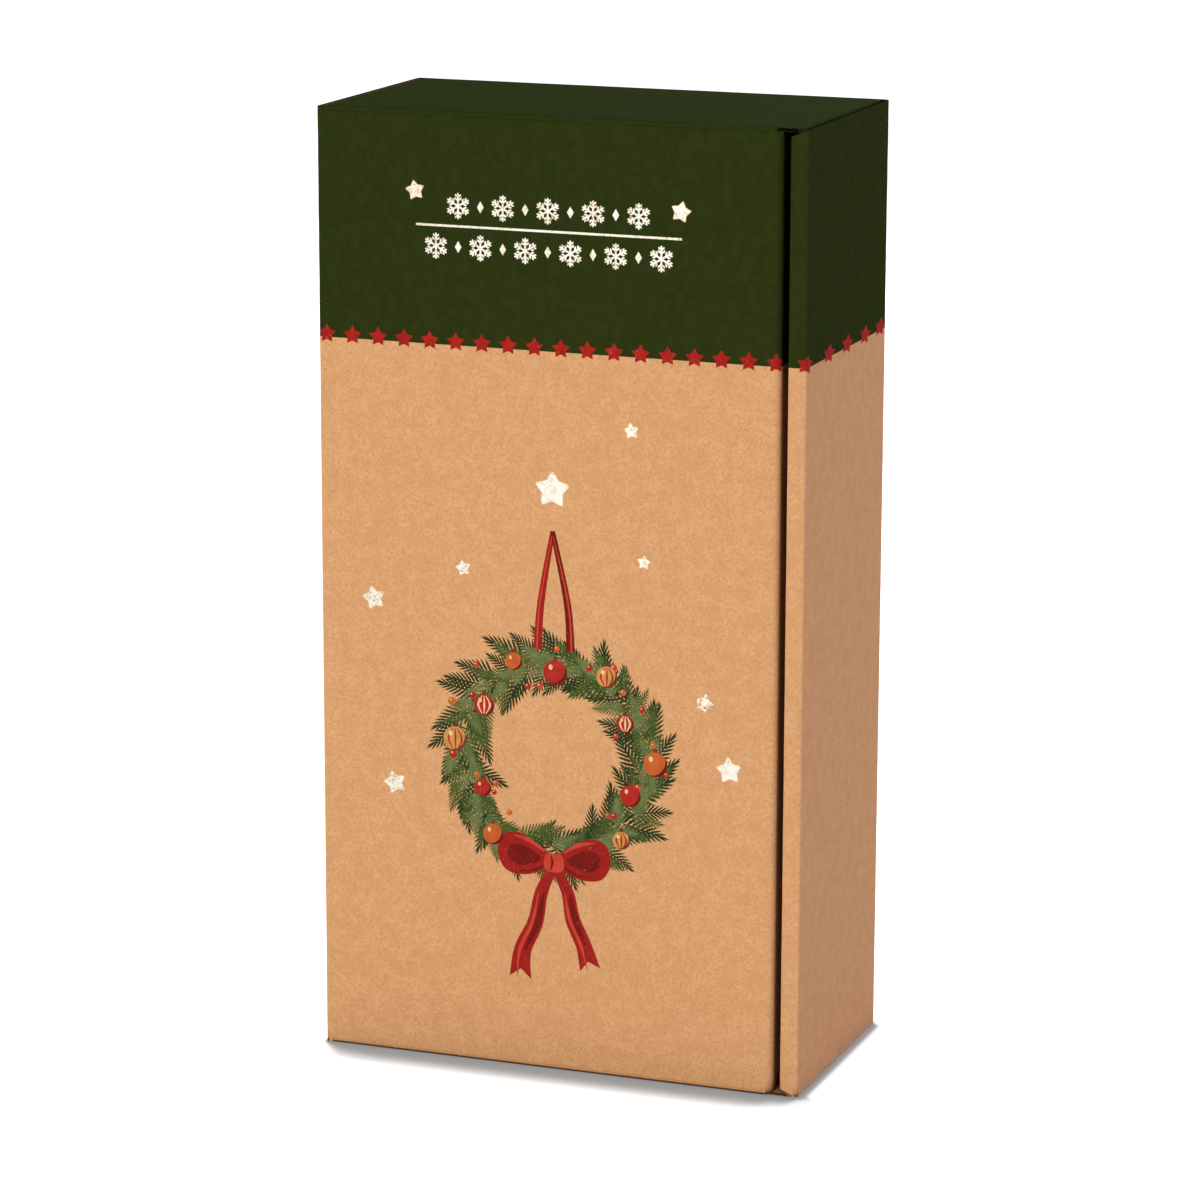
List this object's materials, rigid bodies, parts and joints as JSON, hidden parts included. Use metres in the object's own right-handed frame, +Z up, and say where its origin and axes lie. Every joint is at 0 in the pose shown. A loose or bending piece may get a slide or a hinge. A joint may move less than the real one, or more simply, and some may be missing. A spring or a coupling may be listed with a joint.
{
  "type": "wine gift box",
  "caption": "Upright corrugated gift carton for wine bottles, with a door-like tuck-in front panel, a double side wall, and a neck shelf and divider inside.",
  "frame": {"origin": "middle of the footprint, on the surface the box stands on", "axes": "+Z up along the height, +X to the right seen from the front, -Y out of the printed front panel; the hinge crease is the left front edge"},
  "size_m": [0.19, 0.097, 0.36],
  "materials": {
    "printed_board": "matt kraft liner, printed dark green over the top quarter",
    "kraft_board": "matt unprinted kraft liner",
    "insert_board": "matt unprinted kraft liner"
  },
  "bodies": {
    "case": {"top_wall": "printed_board", "back_panel": "printed_board", "left_wall": "printed_board", "right_wall_outer": "printed_board", "right_wall_ridge": "printed_board", "bottom_wall": "kraft_board", "right_wall_inner": "kraft_board", "bottom_left_corner_flap": "kraft_board", "bottom_right_corner_flap": "kraft_board", "top_left_corner_flap": "kraft_board", "top_right_corner_flap": "kraft_board", "neck_shelf": "insert_board", "shelf_back_panel": "insert_board", "shelf_left_lip": "insert_board", "shelf_right_lip": "insert_board", "divider": "insert_board", "divider_flange": "insert_board"},
    "lid": {"lid_panel": "printed_board"},
    "tuck_flap": {"lid_tuck_flap": "printed_board"},
    "top_flap": {"lid_top_flap": "kraft_board"},
    "bottom_flap": {"lid_bottom_flap": "kraft_board"}
  },
  "joints": [
    {"name": "lid_hinge", "type": "hinge", "parent": "case", "child": "lid", "pos_m": [-0.0942, -0.0477, 0.18], "axis": [0, 0, -1], "range_deg": [0, 175]},
    {"name": "tuck_flap_crease", "type": "hinge", "parent": "lid", "child": "tuck_flap", "pos_m": [0.0845, -0.0477, 0.18], "axis": [0, 0, 1], "range_deg": [0, 35], "stiffness_Nm_per_rad": 0.003, "springref_deg": -34.38},
    {"name": "top_flap_crease", "type": "hinge", "parent": "lid", "child": "top_flap", "pos_m": [0, -0.0469, 0.3581], "axis": [-1, 0, 0], "range_deg": [0, 35], "stiffness_Nm_per_rad": 0.003, "springref_deg": -34.38},
    {"name": "bottom_flap_crease", "type": "hinge", "parent": "lid", "child": "bottom_flap", "pos_m": [0, -0.0469, 0.0019], "axis": [1, 0, 0], "range_deg": [0, 35], "stiffness_Nm_per_rad": 0.003, "springref_deg": -34.38}
  ]
}
